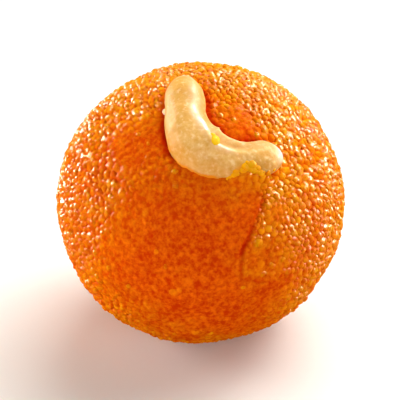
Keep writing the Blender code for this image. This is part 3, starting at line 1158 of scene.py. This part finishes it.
def makeKernel(grainGroup):
    material, tree, surface = newMaterial("cashewKernelSkin")
    grain = placeGroup(tree, grainGroup, Patch_Size=2.0, Speck_Size=0.8, Skin_Size=0.35)
    light = addMath(tree, "ADD", grain["Patches"], grain["Specks"])
    light = addMath(tree, "MULTIPLY_ADD", light, *kernel["tone"])
    # the pale mark adds painted light and shade along the kernel's length
    light = addMath(tree, "ADD", light, readValue(tree, "pale"), clamp=True)
    skin = mixColours(tree, light, kernel["cream"], kernel["pale"])
    flecks = addMath(tree, "MULTIPLY_ADD", grain["Specks"], *kernel["fleckEdge"], clamp=True)
    skin = layOver(tree, skin, flecks, kernel["fleckStrength"], kernel["fleck"])
    for mark, strength, colour in kernel["layers"]:
        skin = layOver(tree, skin, readValue(tree, mark), strength, kernel[colour])
    roughness = addMath(tree, "MULTIPLY_ADD", grain["Specks"], *kernel["roughness"])
    plain, bare = kernel["coat"]
    # more coat where the highlight is painted
    coat = addMath(tree, "MULTIPLY_ADD", readValue(tree, "streak"), bare - plain, plain)
    height = addMath(tree, "MULTIPLY_ADD", readValue(tree, "paste"), kernel["pasteHeight"], grain["Skin"])
    normal = addBump(tree, *kernel["bump"], height)
    fillIn(tree, surface, **kernel["finish"])
    fillIn(tree, surface, Base_Color=skin, Roughness=roughness, Coat_Weight=coat, Normal=normal)
    return material


grainSkin = {
    "orange": (1.0, 0.40, 0.006),
    "yellow": (0.98, 0.62, 0.012),
    "pale": (0.95, 0.80, 0.55),
    "speck": (0.98, 0.42, 0.006),
    "speckStrength": 0.4,
    "roughness": (0.2, 0.2),  # what the fine skin adds, and the least
    "finish": {
        "Specular IOR Level": 0.02,
        "Coat Weight": 0.05,
        "Coat Roughness": 0.15,
        "Subsurface Weight": 0.3,
        "Subsurface Radius": (1.0, 0.5, 0.1),
        "Subsurface Scale": 0.0008,
    },
}


def makeGrainMaterial(grainGroup):
    material, tree, surface = newMaterial("stuckGrain")
    grain = placeGroup(tree, grainGroup, Patch_Size=3.0, Speck_Size=0.5, Skin_Size=0.2)
    # yellowness above 0 is yellow, below 0 pale
    yellow = readValue(tree, "yellow")
    gold = addMath(tree, "MULTIPLY", yellow, 1.0, clamp=True)
    pale = addMath(tree, "MULTIPLY", yellow, -1.0, clamp=True)
    skin = mixColours(tree, gold, grainSkin["orange"], grainSkin["yellow"])
    skin = mixColours(tree, pale, skin, grainSkin["pale"])
    skin = layOver(tree, skin, grain["Specks"], grainSkin["speckStrength"], grainSkin["speck"])
    roughness = addMath(tree, "MULTIPLY_ADD", grain["Skin"], *grainSkin["roughness"])
    fillIn(tree, surface, **grainSkin["finish"], Base_Color=skin, Roughness=roughness)
    return material


studio = {
    "floorSize": 6.0,
    "floorDrop": 0.00002,  # keeps it clear of the ladoo's flat spot
    "floorFade": (0.05, 0.16),
    "floorColour": (0.90, 0.89, 0.87),
    "floorGlow": (0.42, 0.17, 0.012),  # what the floor throws back at the ladoo
    "floorFinish": {"Roughness": 0.6, "Specular IOR Level": 0.1},
    "backgroundColour": (1.0, 1.0, 1.0),
    "ambientColour": (1.0, 0.78, 0.40),
    "ambient": 0.04,
    # name, azimuth, elevation, distance, size, watts, and whether it lights the body or only the gloss
    "lights": [
        ("frontFill", -4, 17, 0.90, 0.80, 1.88, "body"),
        ("leftBox", -100, 14, 0.42, 0.21, 1.15, "body"),
        ("lowLeftBox", -62, 6, 0.42, 0.13, 0.78, "body"),
        ("lowRightBox", 38, 12, 0.42, 0.20, 0.68, "body"),
        ("rightBox", 110, 40, 0.42, 0.25, 0.9, "body"),
        ("backBox", 150, 52, 0.46, 0.45, 2.9, "body"),
        ("leftGleam", -116, 14, 0.42, 0.28, 13.5, "gloss"),
        ("rightGleam", 98, 22, 0.42, 0.24, 10.5, "gloss"),
        ("backGleam", 138, 50, 0.42, 0.22, 7.5, "gloss"),
        ("crownGleam", 38, 64, 0.50, 0.14, 0.7, "gloss"),
    ],
    "lightColours": {"body": (1.0, 0.97, 0.92), "gloss": (1.0, 0.88, 0.72)},
}

cameraSettings = {
    "elevation": 30,
    "lens": 200,
    "frameWidth": 0.0690,
    "aimHeight": 0.0005,
    "clip": (0.01, 20),
}


def mixBackground(tree, share, first, kind, output):
    # the plain background shows instead of the first shader by this share
    plain = addNode(tree, kind, Color=(*studio["backgroundColour"], 1), Strength=1.0)
    mix = addNode(tree, "ShaderNodeMixShader", _0=share, _1=first.outputs[0], _2=plain.outputs[0])
    fillIn(tree, tree.nodes[output], Surface=mix.outputs[0])


def makeFloor():
    size = studio["floorSize"] / 2
    corners = [(-size, -size, 0), (size, -size, 0), (size, size, 0), (-size, size, 0)]
    floor = pieceFrom("paleFloor", corners, [(0, 1, 2, 3)])
    floor.location.z = -studio["floorDrop"]
    material, tree, surface = newMaterial("paleFloor")
    seen = addNode(tree, "ShaderNodeLightPath").outputs["Is Camera Ray"]
    colour = mixColours(tree, seen, studio["floorGlow"], studio["floorColour"])
    fillIn(tree, surface, **studio["floorFinish"], Base_Color=colour)
    # further out it fades into the background
    place = addNode(tree, "ShaderNodeTexCoord").outputs["Object"]
    away = addNode(tree, "ShaderNodeVectorMath", {"operation": "LENGTH"}, _0=place).outputs["Value"]
    near, far = studio["floorFade"]
    smoothly = {"interpolation_type": "SMOOTHSTEP"}
    fade = addNode(tree, "ShaderNodeMapRange", smoothly, Value=away, From_Min=near, From_Max=far)
    share = addMath(tree, "MULTIPLY", fade.outputs["Result"], seen)
    mixBackground(tree, share, surface, "ShaderNodeEmission", "Material Output")
    floor.data.materials.append(material)


def aimAt(thing, aim, azimuth, elevation, distance):
    # puts it this far from the aim, facing it
    thing.location = aim + Vector(onBall(azimuth, elevation)) * distance
    thing.rotation_euler = (aim - thing.location).to_track_quat("-Z", "Y").to_euler()
    scene.collection.objects.link(thing)


def makeLights():
    aim = Vector((0, 0, ballCentreZ))
    for name, azimuth, elevation, distance, size, watts, shines in studio["lights"]:
        lamp = bpy.data.lights.new(name, "AREA")
        lamp.size = size
        lamp.energy = watts
        lamp.color = studio["lightColours"][shines]
        light = bpy.data.objects.new(name, lamp)
        light.visible_glossy = shines == "gloss"
        light.visible_diffuse = light.visible_transmission = shines == "body"
        aimAt(light, aim, azimuth, elevation, distance)


def makeWorld():
    world = bpy.data.worlds.new("studioWorld")
    scene.world = world
    world.use_nodes = True
    tree = world.node_tree
    sky = tree.nodes["Background"]
    fillIn(tree, sky, Color=(*studio["ambientColour"], 1), Strength=studio["ambient"])
    seen = addNode(tree, "ShaderNodeLightPath").outputs["Is Camera Ray"]
    mixBackground(tree, seen, sky, "ShaderNodeBackground", "World Output")


def makeCamera():
    lens = bpy.data.cameras.new("camera")
    lens.lens = cameraSettings["lens"]
    lens.clip_start, lens.clip_end = cameraSettings["clip"]
    camera = bpy.data.objects.new("camera", lens)
    distance = cameraSettings["frameWidth"] * lens.lens / lens.sensor_width
    aim = Vector((0, 0, ballCentreZ + cameraSettings["aimHeight"]))
    aimAt(camera, aim, 0, cameraSettings["elevation"], distance)
    scene.camera = camera


skin = buildPearlSkin()
print("pearl skin:", len(skin.data.polygons), "faces")
loose = buildLoosePearls()
print("loose pearls:", len(loose.data.polygons), "faces")
kernelPiece = buildCashew()
stuck = buildGrains()
print("cashew and grains done")

grainGroup = makeGrainGroup()
boondiMaterial = makeBoondi(grainGroup)
skin.data.materials.append(boondiMaterial)
loose.data.materials.append(boondiMaterial)
kernelPiece.data.materials.append(makeKernel(grainGroup))
stuck.data.materials.append(makeGrainMaterial(grainGroup))
print("materials done")

for piece, slot in ((skin, "boondi"), (loose, "boondi"), (kernelPiece, "cashew"), (stuck, "boondi")):
    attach(piece, "root")
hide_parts("ladoo")
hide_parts("cashew")

makeFloor()
makeLights()
makeWorld()
makeCamera()
scene.view_settings.view_transform = "Standard"
print("studio done")
